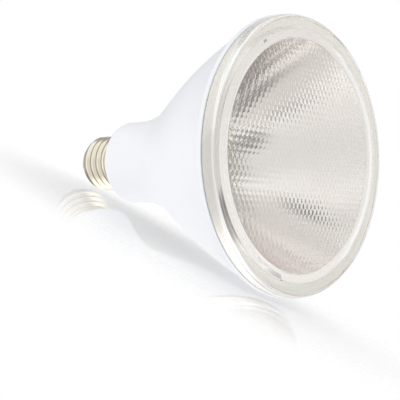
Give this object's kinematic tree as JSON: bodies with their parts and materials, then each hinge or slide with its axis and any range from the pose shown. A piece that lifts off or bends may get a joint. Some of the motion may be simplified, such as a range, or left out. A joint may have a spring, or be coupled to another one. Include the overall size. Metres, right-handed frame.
{
  "type": "par spotlight bulb",
  "caption": "Wide round reflector spotlight lamp with a white funnel body, a clear stepped lens with a honeycomb window and an Edison screw cap.",
  "frame": {"origin": "centre of the lens's flat front ring, on which the lamp stands", "axes": "+Z along the lamp's axis from the lens to the cap; X and Y across the rim"},
  "size_m": [0.122, 0.122, 0.1322],
  "materials": {
    "clear_lens": "clear moulded lens, polished",
    "pale_seal": "matt silicone",
    "white_body": "satin white moulding",
    "bright_reflector": "vacuum-aluminised, bright",
    "bare_aluminium": "pressed, bare",
    "grey_pad": "soft, matt",
    "white_board": "white solder mask",
    "phosphor": "yellow phosphor in white packages",
    "white_connector": "moulded",
    "screw_steel": "zinc plated",
    "sleeve_plastic": "moulded, satin",
    "green_board": "solder mask over glass fibre",
    "ferrite": "sintered, dull",
    "coil_tape": "taped winding",
    "capacitor_can": "sleeved can",
    "film_case": "dipped case",
    "black_epoxy": "moulded epoxy",
    "resistor_coat": "coated",
    "red_insulation": "wire insulation",
    "black_insulation": "wire insulation",
    "brown_insulation": "wire insulation",
    "blue_insulation": "wire insulation",
    "nickel_brass": "rolled sheet, nickel plated",
    "black_glass": "black glass insulator",
    "contact_metal": "stamped contact"
  },
  "bodies": {
    "root": {"lens_cover": "clear_lens", "lens_gasket": "pale_seal", "body_shell": "white_body", "reflector": "bright_reflector", "heat_spreader": "bare_aluminium", "thermal_pad": "grey_pad", "led_board": "white_board", "led_chips": "phosphor", "lead_connector": "white_connector", "board_screws": "screw_steel", "sleeve_lid": "sleeve_plastic", "driver_sleeve": "sleeve_plastic", "driver_board": "green_board", "transformer_core": "ferrite", "transformer_coil": "coil_tape", "smoothing_capacitor": "capacitor_can", "film_capacitor": "film_case", "bridge_rectifier": "black_epoxy", "choke": "ferrite", "fuse_resistor": "resistor_coat", "driver_chip": "black_epoxy", "led_lead_positive": "red_insulation", "led_lead_negative": "black_insulation", "live_wire": "brown_insulation", "neutral_wire": "blue_insulation", "screw_shell": "nickel_brass", "cap_insulator": "black_glass", "centre_contact": "contact_metal"}
  },
  "joints": []
}
